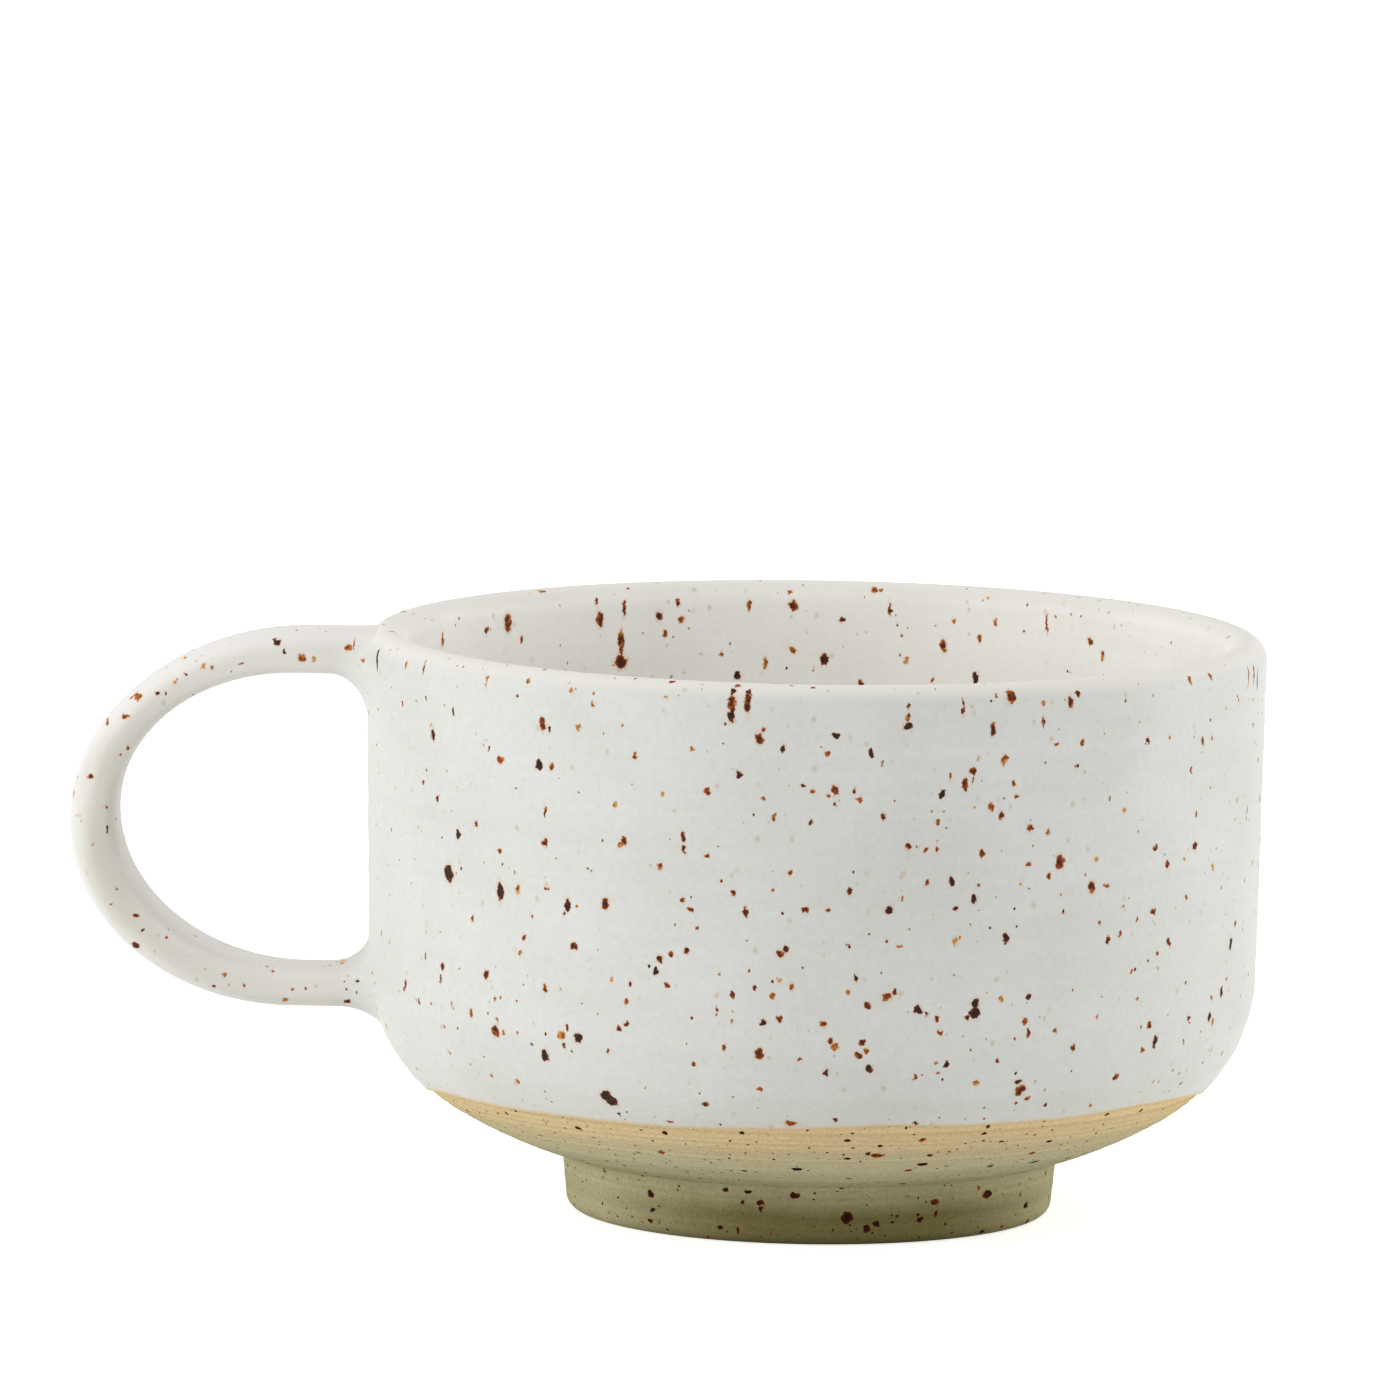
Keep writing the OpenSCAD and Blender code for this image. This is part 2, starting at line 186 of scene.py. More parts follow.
# Specks on the bare clay, placed as those on the wall are
CLAY_BLACK = (
    (9, 3.2, 1.4, 1.4), (16, 2.5, 0.9, 0.8), (-39.5, 4.6, 0.9, 0.9), (-21, 1.7, 0.7, 0.6),
    (62.5, 2.6, 1, 0.8), (27, 2.7, 0.9, 0.6), (-39, 2.8, 0.8, 0.5), (19, 10.7, 1.2, 0.8),
    (-2, 10.1, 1.3, 0.6), (-35, 0.7, 0.6, 0.4), (46, 0.5, 1.2, 0.5),
)
CLAY_BROWN = (
    (-3, 5.7, 1.2, 0.9), (-11, 4.7, 0.9, 0.7), (30.5, 4.6, 1, 0.8), (31, 3.2, 0.5, 1),
    (-16.5, 1.4, 0.5, 1), (-40, 1.6, 0.8, 0.7), (46, 4.8, 1.6, 0.9), (5.5, 14.3, 0.8, 0.6),
    (6, 11.8, 0.9, 0.5), (10.5, 13.6, 0.6, 0.5), (19, 12.1, 0.7, 0.5), (-36, 13.9, 0.8, 0.5),
    (39, 12.9, 0.9, 0.5), (43.5, 9.6, 1.6, 0.5), (-14, 5.9, 1, 0.4), (-15.5, 4.7, 0.5, 0.5),
    (36, 0.8, 0.5, 0.5), (20, 2.5, 0.5, 0.4), (21, 3.2, 0.4, 0.4), (6.5, 1.8, 0.4, 0.4),
    (-57, 2.4, 0.4, 0.4),
)
CLAY_RUST = (
    (10.5, 12.2, 1.4, 1), (17.5, 9.8, 0.9, 0.5), (16.5, 14.3, 0.9, 0.8), (-24, 11.6, 0.9, 0.7),
    (38.5, 11.3, 0.9, 0.5),
)


def linear(code):
    """Linear colour for an sRGB hex code."""
    parts = [int(code[i:i + 2], 16) / 255 for i in (1, 3, 5)]
    return [p / 12.92 if p <= 0.04045 else ((p + 0.055) / 1.055) ** 2.4 for p in parts]


def rgba(colour):
    """A colour with its alpha, as a socket takes it."""
    return (*colour, 1)


class CupSizes(bpy.types.PropertyGroup):
    """Sizes of the thrown bowl and its coats."""

    height: FloatProperty(
        name="Height", description="Height to the crest of the rim, over the glaze",
        default=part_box("outer_glaze")[1].z, unit="LENGTH")
    rim: FloatProperty(
        name="Rim", description="Diameter across the rim, over the glaze",
        default=2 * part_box("outer_glaze")[1].y, unit="LENGTH")
    taper: FloatProperty(
        name="Taper",
        description="How much narrower the clay is where the wall turns under than at the rim",
        default=1.3 * MM, unit="LENGTH")
    wall: FloatProperty(name="Wall", description="Thickness of the clay", default=4 * MM, unit="LENGTH")
    turn: FloatProperty(
        name="Turn", description="Radius of the turn from the wall to the underside",
        default=18 * MM, unit="LENGTH")
    turn_angle: FloatProperty(
        name="Turn Angle", description="Angle of that turn, before the underside flattens",
        default=math.radians(59), subtype="ANGLE")
    underside: FloatProperty(
        name="Underside", description="Radius of the flatter underside", default=51 * MM, unit="LENGTH")
    coat: FloatProperty(
        name="Glaze", description="Thickness of the glaze", default=0.3 * MM, unit="LENGTH")
    line: FloatProperty(
        name="Glaze Line", description="Height where the outside glaze ends",
        default=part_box("outer_glaze")[0].z, unit="LENGTH")
    wobble: FloatProperty(
        name="Wobble", description="How far the potter's hands leave the cup out of true",
        default=0.1 * MM, unit="LENGTH")
    rings: FloatProperty(
        name="Throwing Rings", description="Depth of the rings that fingers leave in the wall",
        default=0.06 * MM, unit="LENGTH")


class FootSizes(bpy.types.PropertyGroup):
    """Sizes of the turned foot ring."""

    diameter: FloatProperty(
        name="Diameter", description="Diameter where the foot meets the underside",
        default=54.8 * MM, unit="LENGTH")
    height: FloatProperty(
        name="Height", description="Height of the foot at its outside", default=6.5 * MM, unit="LENGTH")
    width: FloatProperty(
        name="Width", description="Width where it meets the underside", default=6 * MM, unit="LENGTH")
    lean: FloatProperty(
        name="Lean", description="How far each side leans in towards the table",
        default=0.4 * MM, unit="LENGTH")
    edge: FloatProperty(
        name="Edge", description="Rounding of the lower edges", default=1.5 * MM, unit="LENGTH")
    crease: FloatProperty(
        name="Crease", description="Rounding of the corner under the bowl",
        default=1.5 * MM, unit="LENGTH")


class HandleSizes(bpy.types.PropertyGroup):
    """Sizes of the pulled handle, over its clay."""

    reach: FloatProperty(
        name="Reach", description="How far the handle reaches out from the axis, over the glaze",
        default=-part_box("handle_glaze")[0].x - 0.25 * MM, unit="LENGTH")
    span: FloatProperty(
        name="Span", description="Height between the middles of the arms",
        default=37.6 * MM, unit="LENGTH")
    arm: FloatProperty(
        name="Arm", description="Length of the straight arms", default=7 * MM, unit="LENGTH")
    thick: FloatProperty(
        name="Thickness", description="Thickness at the upper arm", default=4.4 * MM, unit="LENGTH")
    swell: FloatProperty(
        name="Swell", description="How much thinner the upper bend is and thicker the lower one",
        default=0.7 * MM, unit="LENGTH")
    thumb: FloatProperty(
        name="Thumb", description="How much thicker the outer end is", default=0.55 * MM, unit="LENGTH")
    slack: FloatProperty(
        name="Slack", description="How much thinner the lower arm is", default=0.4 * MM, unit="LENGTH")
    width: FloatProperty(
        name="Width", description="Width from front to back", default=10.4 * MM, unit="LENGTH")
    drop: FloatProperty(
        name="Drop", description="How far the top lies below the crest of the rim",
        default=0.3 * MM, unit="LENGTH")
    joint_length: FloatProperty(
        name="Joint Length", description="Reach of the joints along the arms",
        default=4.6 * MM, unit="LENGTH")
    upper_reach: FloatProperty(
        name="Upper Reach", description="Reach of the upper joint down the wall",
        default=5.8 * MM, unit="LENGTH")
    lower_reach: FloatProperty(
        name="Lower Reach", description="Reach of the lower joint up the wall",
        default=4.3 * MM, unit="LENGTH")
    heel: FloatProperty(
        name="Heel", description="Reach of the lower joint down the belly",
        default=2.6 * MM, unit="LENGTH")


class CupColours(bpy.types.PropertyGroup):
    """Colours of the glaze, its iron and the bare clay."""

    white: FloatVectorProperty(
        name="White", description="The glaze where it lies thick",
        default=linear("#e4e5e1"), subtype="COLOR")
    shade: FloatVectorProperty(
        name="Shade", description="The cloudier parts of the glaze",
        default=linear("#dadbd5"), subtype="COLOR")
    blush: FloatVectorProperty(
        name="Blush", description="The glaze where it runs thin over an edge",
        default=linear("#eae7e0"), subtype="COLOR")
    # Painted light: the inside glaze is the outside's glaze, given lighter tones to stand for the light that
    # falls inside
    lit_cream: FloatVectorProperty(
        name="Cream", description="The thicker glaze inside", default=linear("#f9f8f4"), subtype="COLOR")
    lit_cloud: FloatVectorProperty(
        name="Cloud", description="The cloudier parts of the glaze inside",
        default=linear("#f3f1eb"), subtype="COLOR")
    # Partly painted light: the handle's thinner, warmer glaze is also made lighter than the wall's, to stand
    # for the light on the handle
    lit_milk: FloatVectorProperty(
        name="Milk", description="The thin glaze on the handle",
        default=linear("#edeae5"), subtype="COLOR")
    # Partly painted shade: real ashy streaks of pooled glaze, and the darker look of the handle's sides that
    # face front and back
    ash_and_side_shade: FloatVectorProperty(
        name="Ash", description="The glaze pooled along the sides of the handle",
        default=linear("#d9d6ca"), subtype="COLOR")
    black: FloatVectorProperty(
        name="Black Iron", description="The heart of the darkest specks",
        default=linear("#2b1f1b"), subtype="COLOR")
    brown: FloatVectorProperty(
        name="Iron Brown", description="The heart of most specks",
        default=linear("#5c2915"), subtype="COLOR")
    rust: FloatVectorProperty(
        name="Rust", description="The palest specks and the edges of others",
        default=linear("#ad551b"), subtype="COLOR")
    ochre: FloatVectorProperty(
        name="Ochre", description="Iron bled into the glaze round a speck",
        default=linear("#cd9648"), subtype="COLOR")
    olive: FloatVectorProperty(
        name="Olive", description="Iron that lies deep under the glaze",
        default=linear("#b4aa78"), subtype="COLOR")
    tan: FloatVectorProperty(
        name="Tan", description="Clay flashed by the kiln under the glaze line",
        default=linear("#ead0a0"), subtype="COLOR")
    clay: FloatVectorProperty(
        name="Clay", description="Bare clay on the underside", default=linear("#ddd6b3"), subtype="COLOR")
    foot: FloatVectorProperty(
        name="Foot Clay", description="Bare clay on the foot", default=linear("#c6c09b"), subtype="COLOR")
    # Painted shade: the clay of the foot darkened towards the table and on its front
    rim_wear_and_foot_shade: FloatVectorProperty(
        name="Shaded Clay", description="Darkened clay at the lower edge of the foot",
        default=linear("#80794f"), subtype="COLOR")


class StudioLook(bpy.types.PropertyGroup):
    """The camera and the lamps."""

    distance: FloatProperty(
        name="Distance", description="From the camera to the middle of the cup",
        default=1.698, unit="LENGTH")
    elevation: FloatProperty(
        name="Elevation", description="Height of the camera over the cup, as an angle",
        default=math.radians(8.08), subtype="ANGLE")
    pitch: FloatProperty(
        name="Pitch", description="How far the camera looks down",
        default=math.radians(7.25), subtype="ANGLE")
    yaw: FloatProperty(
        name="Yaw", description="How far the camera turns from the cup",
        default=math.radians(-0.44), subtype="ANGLE")
    roll: FloatProperty(
        name="Roll", description="Tilt of the camera", default=math.radians(0.85), subtype="ANGLE")
    lens: FloatProperty(name="Lens", description="Focal length in mm on a 36 mm frame", default=392.6)
    left: FloatProperty(
        name="Left Lamp", description="Power of the lamp on the left", default=4.5, unit="POWER")
    right: FloatProperty(
        name="Right Lamp", description="Power of the lamp on the right", default=3.3, unit="POWER")
    top: FloatProperty(
        name="Top Lamp", description="Power of the lamp overhead", default=3.1, unit="POWER")
    front: FloatProperty(
        name="Front Lamp", description="Power of the lamp high in front", default=1.2, unit="POWER")
    fill: FloatProperty(name="Fill", description="Strength of the light from all round", default=0.55)


class Section:
    """The wall's section: three arcs and the straight wall that is tangent to two of them."""

    def __init__(self, cup, foot):
        self.coat, self.wall = cup.coat, cup.wall
        self.lip_r = cup.wall / 2
        self.turn_r, self.base_r, self.turn_angle = cup.turn, cup.underside, cup.turn_angle
        rim_r = cup.rim / 2 - cup.wobble / 2
        self.lip = Vector((rim_r - cup.coat - self.lip_r, cup.height - cup.coat - self.lip_r))
        wall_r = rim_r - cup.coat - cup.taper / 2
        base_x = wall_r - cup.turn - (cup.underside - cup.turn) * math.cos(cup.turn_angle)
        self.foot_r, self.foot_top, self.foot_lean = foot.diameter / 2, foot.height, foot.lean
        rise = math.sqrt(cup.underside ** 2 - (self.foot_r - base_x) ** 2)
        self.base = Vector((base_x, foot.height + rise))
        turned = Vector((math.cos(cup.turn_angle), -math.sin(cup.turn_angle)))
        self.turn = self.base + (cup.underside - cup.turn) * turned
        wall = self.lip - self.turn
        self.lean = math.acos((cup.turn - self.lip_r) / wall.length) - math.atan2(wall.y, wall.x)
        self.line_angle = math.asin((cup.line - self.turn.y) / (self.turn_r + self.coat))

    def outer_radius(self, z, over=0.0):
        """Radius of the outside at a height on the foot, the underside, the turn, the wall or the lip."""
        if z < self.foot_top:
            return self.foot_r - self.foot_lean * (1 - z / self.foot_top)
        if z > self.lip.y:
            r = self.lip_r + over
            return self.lip.x + math.sqrt(max(0, r * r - (z - self.lip.y) ** 2))
        if z > self.turn.y:
            start = self.turn.x + (self.turn_r + over) / math.cos(self.lean)
            return start + (z - self.turn.y) * math.tan(self.lean)
        if z > self.base.y - (self.base_r + over) * math.sin(self.turn_angle):
            return self.turn.x + math.sqrt((self.turn_r + over) ** 2 - (self.turn.y - z) ** 2)
        return self.base.x + math.sqrt(max(0, (self.base_r + over) ** 2 - (self.base.y - z) ** 2))

    def underside(self, r):
        """Height of the underside at a radius."""
        return self.base.y - math.sqrt(self.base_r ** 2 - (r - self.base.x) ** 2)

    def inner_radius(self, z):
        """Radius of the inside, over the glaze, at a height on the wall or the lip."""
        r = self.lip_r + self.coat
        if z > self.lip.y:
            return self.lip.x - math.sqrt(max(0, r * r - (z - self.lip.y) ** 2))
        inner = (self.turn_r - self.wall - self.coat) / math.cos(self.lean)
        return self.turn.x + inner + (z - self.turn.y) * math.tan(self.lean)


def arc(centre, r, start, stop, step):
    """Points along an arc, no further apart than a step in radians."""
    count = max(1, math.ceil(abs(stop - start) / step))
    angles = [start + (stop - start) * i / count for i in range(count + 1)]
    return [centre + r * Vector((math.cos(a), math.sin(a))) for a in angles]


def line(start, stop, step):
    """Points along a straight line, without its two ends."""
    count = max(1, math.ceil((stop - start).length / step))
    return [start.lerp(stop, i / count) for i in range(1, count)]


def fingers(points, depth, pitch):
    """Pushes a section in and out in the uneven rings that fingers or a turning tool leave."""
    moved, along = [points[0].copy()], 0.0
    for i in range(1, len(points) - 1):
        along += (points[i] - points[i - 1]).length
        run = points[i + 1] - points[i - 1]
        out = Vector((run.y, -run.x)).normalized()
        wave = math.sin(math.tau * along / pitch + 1.7 * math.sin(math.tau * along / (4.3 * pitch)))
        fade = min(1, i / 6, (len(points) - 1 - i) / 6)
        moved.append(points[i] + out * depth / 2 * wave * fade)
    return moved + [points[-1].copy()]


def throw(name, points, steps, joined):
    """Spins a section, given as radius and height, into a piece. A joined section closes on itself."""
    bpy.ops.object.select_all(action="DESELECT")
    bpy.ops.mesh.primitive_plane_add(size=MM)
    piece = bpy.context.object
    piece.name = piece.data.name = name
    bpy.ops.object.mode_set(mode="EDIT")
    bpy.ops.mesh.select_all(action="SELECT")
    bpy.ops.mesh.merge(type="CENTER")
    bpy.ops.transform.translate(value=(points[0].x, 0, points[0].y))
    for before, after in zip(points, points[1:]):
        step = after - before
        bpy.ops.mesh.extrude_region_move(TRANSFORM_OT_translate={"value": (step.x, 0, step.y)})
    if joined:
        drawn = bmesh.from_edit_mesh(piece.data)
        drawn.verts.ensure_lookup_table()
        drawn.verts[0].select = True
        bpy.ops.mesh.edge_face_add()
    bpy.ops.mesh.select_all(action="SELECT")
    bpy.ops.mesh.spin(steps=steps, angle=math.tau, center=(0, 0, 0), axis=(0, 0, 1))
    bpy.ops.mesh.select_all(action="SELECT")
    bpy.ops.mesh.remove_doubles(threshold=0.002 * MM)
    bpy.ops.mesh.normals_make_consistent(inside=False)
    bpy.ops.object.mode_set(mode="OBJECT")
    return piece


def unsettle(piece, amount):
    """Leaves a piece slightly out of true, each part of the cup in step with its neighbours."""
    for axis, size in (("X", 34), ("Y", 41)):
        name = "hand_" + axis.lower()
        clouds = bpy.data.textures.get(name) or bpy.data.textures.new(name, type="CLOUDS")
        clouds.noise_scale = size * MM
        clouds.noise_depth = 1
        bpy.ops.object.modifier_add(type="DISPLACE")
        bend = piece.modifiers[-1]
        bend.texture, bend.texture_coords, bend.direction = clouds, "LOCAL", axis
        bend.mid_level, bend.strength = 0.5, amount
        bpy.ops.object.modifier_apply(modifier=bend.name)


def hand_over(piece, node, material):
    """Finishes a piece: smooth faces, its material, and the node that it stands for."""
    bpy.ops.object.shade_smooth_by_angle(angle=math.radians(40))
    piece.data.materials.clear()
    piece.data.materials.append(material)
    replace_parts(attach(piece, "root"), node)
    if len(piece.data.polygons) == 0:
        raise RuntimeError(f"{piece.name} has no faces")


def add_node(tree, kind, inputs=None, stops=None, **settings):
    """Adds a shader node, sets its properties and ramp stops, and links or sets its inputs.

    Gives its one live output, or the node itself where it has several.
    """
    made = tree.nodes.new("ShaderNode" + kind)
    for key, value in settings.items():
        setattr(made, key, value)
    for key, value in (inputs or {}).items():
        if isinstance(value, bpy.types.NodeSocket):
            tree.links.new(value, made.inputs[key])
        else:
            made.inputs[key].default_value = value
    for i, (place, colour) in enumerate(stops or ()):
        ramp = made.color_ramp.elements
        stop = ramp[i] if i < len(ramp) else ramp.new(place)
        stop.position, stop.color = place, rgba(colour)
    live = [socket for socket in made.outputs if socket.enabled]
    return live[0] if len(live) == 1 else made


def new_material(name):
    """An empty material with its shader and its Object coordinates."""
    material = bpy.data.materials.new(name)
    material.use_nodes = True
    tree = material.node_tree
    return material, tree, tree.nodes["Principled BSDF"], add_node(tree, "TexCoord").outputs["Object"]


def ragged(tree, place, grain, amount):
    """Coordinates shaken by a noise, so that what is drawn with them gets a torn outline."""
    noise = add_node(tree, "TexNoise", {"Vector": place, "Scale": 1 / grain, "Detail": 2}, normalize=False)
    shake = noise.outputs["Color"]
    return add_node(tree, "VectorMath", {0: shake, 1: (amount,) * 3, 2: place}, operation="MULTIPLY_ADD")


def nearer(tree, found, distance, tone):
    """Keeps the nearest speck so far and its tone."""
    if found is None:
        return distance, tone
    closer = add_node(tree, "Math", {0: distance, 1: found[0]}, operation="LESS_THAN")
    least = add_node(tree, "Math", {0: distance, 1: found[0]}, operation="MINIMUM")
    mixed = add_node(tree, "Mix", {"Factor": closer, "A": found[1], "B": tone}, data_type="FLOAT")
    return least, mixed


def placed_specks(tree, found, place, groups):
    """Adds specks at given places. A group is a tone and its specks, each a place and three half sizes."""
    for tone, specks in groups:
        least = None
        for spot, half in specks:
            size = Vector([1 / h for h in half])
            away = add_node(
                tree, "VectorMath", {0: place, 1: size, 2: -spot * size}, operation="MULTIPLY_ADD")
            far = add_node(tree, "VectorMath", {0: away}, operation="LENGTH")
            least = far if least is None else add_node(
                tree, "Math", {0: least, 1: far}, operation="MINIMUM")
        found = nearer(tree, found, least, tone)
    return found


def strewn_specks(tree, found, place, cell, small, large, stretch, tones, away=None):
    """Adds specks strewn one to a cell, with radii and tones in a range. They keep off where away is 1."""
    squat = add_node(tree, "VectorMath", {0: place, 1: (1, 1, 1 / stretch)}, operation="MULTIPLY")
    cells = add_node(tree, "TexVoronoi", {"Vector": squat, "Scale": 1 / cell})
    chance = add_node(tree, "SeparateColor", {0: cells.outputs["Color"]})
    radius = add_node(
        tree, "MapRange", {"Value": chance.outputs[0], "To Min": small / cell, "To Max": large / cell})
    share = add_node(tree, "Math", {0: cells.outputs["Distance"], 1: radius}, operation="DIVIDE")
    if away is not None:
        share = add_node(tree, "Math", {0: away, 1: 9.0, 2: share}, operation="MULTIPLY_ADD")
    tone = add_node(
        tree, "MapRange", {"Value": chance.outputs[1], "To Min": tones[0], "To Max": tones[1]})
    return nearer(tree, found, share, tone)


def iron(tree, place, found, ground, colours, bled):
    """Draws the specks found over a ground that they have bled into. Gives the colour and their cover."""
    distance, tone = found
    burnt = add_node(tree, "TexNoise", {"Vector": place, "Scale": 1 / BURN, "Detail": 1}, normalize=False)
    tone = add_node(tree, "Math", {0: burnt.outputs[0], 1: 0.5, 2: tone}, operation="MULTIPLY_ADD")
    heart = add_node(
        tree, "ValToRGB", {0: tone},
        stops=((0, colours.black), (0.45, colours.brown), (0.8, colours.rust), (1, colours.ochre)))
    edge = add_node(
        tree, "ValToRGB", {0: tone},
        stops=((0, colours.brown), (0.4, colours.rust), (1, colours.ochre)))
    ring = add_node(
        tree, "MapRange", {"Value": distance, "From Min": 0.5, "From Max": 1.0},
        interpolation_type="SMOOTHSTEP")
    speck = add_node(
        tree, "Mix", {"Factor": ring, "A": heart.outputs["Color"], "B": edge.outputs["Color"]},
        data_type="RGBA")
    bleed = add_node(
        tree, "MapRange",
        {"Value": distance, "From Min": 0.95, "From Max": 1.7, "To Min": bled, "To Max": 0.0},
        interpolation_type="SMOOTHSTEP")
    stained = add_node(
        tree, "Mix", {"Factor": bleed, "A": ground, "B": rgba(colours.ochre)}, data_type="RGBA")
    cover = add_node(
        tree, "MapRange",
        {"Value": distance, "From Min": 0.92, "From Max": 1.06, "To Min": 1.0, "To Max": 0.0},
        interpolation_type="SMOOTHSTEP")
    drawn = add_node(tree, "Mix", {"Factor": cover, "A": stained, "B": speck}, data_type="RGBA")
    return drawn, cover


def glaze(name, cup, colours, tones, groups, off, strap=False, dipped=False):
    """Matte white glaze on speckled stoneware.

    It gives the eye a soft, cool and slightly cloudy white that turns pink where it runs thin over an edge,
    with iron that has bled up from the clay in dark, ragged, rust-edged specks. Where the largest are listed,
    none of that size are strewn: in front of the axis if off is -1, and behind it if off is 1.
    """
    material, tree, shader, place = new_material(name)
    axes = add_node(tree, "SeparateXYZ", {0: place})
    # Clouds a thumb wide, and faint rings from the throwing
    clouds = add_node(tree, "TexNoise", {"Vector": place, "Scale": 1 / CLOUD, "Detail": 3})
    flat = add_node(tree, "VectorMath", {0: place, 1: (0.03, 0.03, 1)}, operation="MULTIPLY")
    lines = add_node(tree, "TexNoise", {"Vector": flat, "Scale": 1 / THROWN_LINE, "Detail": 2})
    pits = add_node(tree, "TexNoise", {"Vector": place, "Scale": 1 / PIT, "Detail": 2})
    grain = add_node(
        tree, "Math", {0: pits.outputs[0], 1: 0.7, 2: clouds.outputs[0]}, operation="MULTIPLY_ADD")
    mottle = add_node(tree, "Math", {0: lines.outputs[0], 1: 0.35, 2: grain}, operation="MULTIPLY_ADD")
    murk = add_node(tree, "MapRange", {"Value": mottle, "From Min": 0.75, "From Max": 1.3})
    ground = add_node(
        tree, "Mix", {"Factor": murk, "A": rgba(tones[0]), "B": rgba(tones[1])}, data_type="RGBA")
    # Thin glaze below the crest of the rim, down to an uneven edge
    rim_wear_and_foot_shade = add_node(
        tree, "Math", {0: clouds.outputs[0], 1: THIN_RIM, 2: axes.outputs["Z"]}, operation="MULTIPLY_ADD")
    crest = cup.height + 0.2 * MM
    thin = add_node(
        tree, "MapRange", {"Value": rim_wear_and_foot_shade, "From Min": cup.height - THIN_RIM, "From Max": crest},
        interpolation_type="SMOOTHSTEP")
    ground = add_node(
        tree, "Mix", {"Factor": thin, "A": ground, "B": rgba(colours.blush)}, data_type="RGBA")
    if dipped:
        # The last of the glaze above its line, where the clay shows through
        edge = add_node(tree, "Attribute", attribute_name=THINNED)
        uneven = add_node(
            tree, "Math", {0: pits.outputs[0], 1: 0.5, 2: edge.outputs["Fac"]}, operation="MULTIPLY_ADD")
        bare = add_node(
            tree, "MapRange", {"Value": uneven, "From Min": 0.65, "From Max": 1.2, "To Max": 0.85},
            interpolation_type="SMOOTHSTEP")
        ground = add_node(
            tree, "Mix", {"Factor": bare, "A": ground, "B": rgba(colours.tan)}, data_type="RGBA")
    if strap:
        # Glaze pooled in ashy streaks on the sides of the strap, with painted shade on the sides that face
        # front and back, and as white as the wall at the joints
        side = add_node(tree, "Math", {0: axes.outputs["Y"]}, operation="ABSOLUTE")
        loop = Vector((-57 * MM, 0, 44 * MM))
        spoke = add_node(tree, "VectorMath", {0: place, 1: (1, 0, 1), 2: -loop}, operation="MULTIPLY_ADD")
        reach = add_node(tree, "VectorMath", {0: spoke}, operation="LENGTH")
        strand = add_node(tree, "CombineXYZ", {0: reach, 1: axes.outputs["Y"]})
        drawn = add_node(
            tree, "VectorMath", {0: place, 1: (0.2, 0, 0.2), 2: strand}, operation="MULTIPLY_ADD")
        streaks = add_node(tree, "TexNoise", {"Vector": drawn, "Scale": 1 / STREAK, "Detail": 3})
        rough_side = add_node(
            tree, "Math", {0: streaks.outputs[0], 1: 5 * MM, 2: side}, operation="MULTIPLY_ADD")
        pooled_and_shaded = add_node(
            tree, "MapRange", {"Value": rough_side, "From Min": 6.2 * MM, "From Max": 8.8 * MM},
            interpolation_type="SMOOTHSTEP")
        low = add_node(
            tree, "MapRange",
            {"Value": axes.outputs["Z"], "From Min": 60 * MM, "From Max": 50 * MM, "To Min": 0.25})
        out = add_node(
            tree, "MapRange", {"Value": axes.outputs["X"], "From Min": -49.5 * MM, "From Max": -56 * MM})
        bend = add_node(
            tree, "MapRange", {"Value": axes.outputs["X"], "From Min": -54 * MM, "From Max": -78 * MM})
        amount = add_node(tree, "Math", {0: pooled_and_shaded, 1: low}, operation="MULTIPLY")
        amount = add_node(tree, "Math", {0: amount, 1: bend}, operation="MULTIPLY")
        ground = add_node(
            # Partly painted light: away from the wall the handle turns to the lighter milk glaze
            tree, "Mix", {"Factor": out, "A": ground, "B": rgba(colours.lit_milk)}, data_type="RGBA")
        ground = add_node(
            tree, "Mix", {"Factor": amount, "A": ground, "B": rgba(colours.ash_and_side_shade)}, data_type="RGBA")
    # Pale smudges where iron lies deep, then specks from dust to two millimetres
    torn = ragged(tree, place, 0.6 * MM, 0.25 * MM)
    fine = ragged(tree, place, 0.4 * MM, 0.08 * MM)
    smudge = strewn_specks(tree, None, fine, *SMUDGES)
    faint = add_node(
        tree, "MapRange",
        {"Value": smudge[0], "From Min": 0.2, "From Max": 1.2, "To Min": 0.5, "To Max": 0.0})
    deep = add_node(
        tree, "Mix", {"Factor": smudge[1], "A": rgba(colours.olive), "B": rgba(colours.ochre)},
        data_type="RGBA")
    ground = add_node(tree, "Mix", {"Factor": faint, "A": ground, "B": deep}, data_type="RGBA")
    found = strewn_specks(tree, None, fine, *DUST)
    found = strewn_specks(tree, found, torn, *FRECKLES)
    near = add_node(
        tree, "MapRange", {"Value": axes.outputs["Y"], "From Min": -6 * MM * off, "From Max": 6 * MM * off})
    found = strewn_specks(tree, found, torn, *BLOTS, near)
    found = placed_specks(tree, found, torn, groups)
    colour, cover = iron(tree, place, found, ground, colours, 0.25)
    # Fine pits and throwing rings in a surface that is nearly matte
    relief = add_node(
        tree, "Math", {0: lines.outputs[0], 1: 0.8, 2: pits.outputs[0]}, operation="MULTIPLY_ADD")
    bump = add_node(tree, "Bump", {"Height": relief, "Strength": 0.5, "Distance": 0.05 * MM})
    gloss = add_node(tree, "MapRange", {"Value": cover, "To Min": 0.52, "To Max": 0.8})
    for key, value in (("Base Color", colour), ("Roughness", gloss), ("Normal", bump)):
        tree.links.new(value, shader.inputs[key])
    shader.inputs["Specular IOR Level"].default_value = 0.2
    return material


